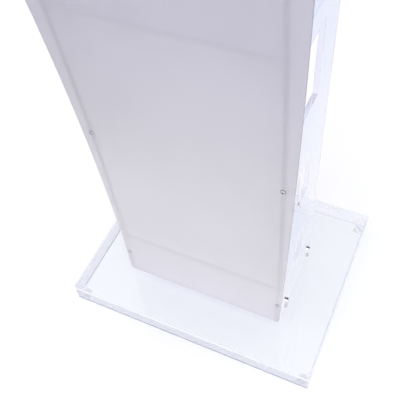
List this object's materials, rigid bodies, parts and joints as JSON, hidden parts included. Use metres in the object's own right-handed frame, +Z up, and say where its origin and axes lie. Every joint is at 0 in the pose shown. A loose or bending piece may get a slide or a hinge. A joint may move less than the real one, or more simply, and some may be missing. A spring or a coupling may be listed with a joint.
{
  "type": "brochure rack",
  "caption": "Free-standing clear acrylic brochure rack: curved frosted front panel, windowed side plates, shelves, sloped divided display deck, wide hollow base.",
  "frame": {"origin": "on the floor at the centre of the base", "axes": "+Z up; the frosted panel faces -Y, the open side with the shelves and the low edge of the display deck faces +Y; +X to the right when facing +Y"},
  "size_m": [0.6, 0.466, 1.12],
  "materials": {
    "clear_acrylic": "clear cast acrylic with polished edges, faint blue-violet tint at the cut edges",
    "frosted_acrylic": "satin-frosted translucent white acrylic",
    "screw_steel": "bright polished stainless steel",
    "bolt_steel": "turned stainless steel",
    "insert_brass": "turned brass, knurled",
    "bumper_rubber": "clear soft polyurethane bumper, slightly yellowed"
  },
  "bodies": {
    "root": {"base_corner_pads": "clear_acrylic", "base_front_wall": "clear_acrylic", "base_left_wall": "clear_acrylic", "base_rear_wall": "clear_acrylic", "base_right_wall": "clear_acrylic", "base_top_plate": "clear_acrylic", "bottom_shelf": "clear_acrylic", "brochure_deck": "clear_acrylic", "deck_dividers": "clear_acrylic", "deck_lip": "clear_acrylic", "deck_screw_inserts": "insert_brass", "deck_screws": "screw_steel", "foot_bolts": "bolt_steel", "foot_cross_dowels": "screw_steel", "foot_washers": "bolt_steel", "frosted_front_panel": "frosted_acrylic", "left_deck_cleat": "clear_acrylic", "left_deck_fence": "clear_acrylic", "left_side_plate": "clear_acrylic", "main_shelf": "clear_acrylic", "main_shelf_lip": "clear_acrylic", "panel_screw_inserts": "insert_brass", "panel_screws": "screw_steel", "right_deck_cleat": "clear_acrylic", "right_deck_fence": "clear_acrylic", "right_side_plate": "clear_acrylic", "rubber_feet": "bumper_rubber"}
  },
  "joints": []
}
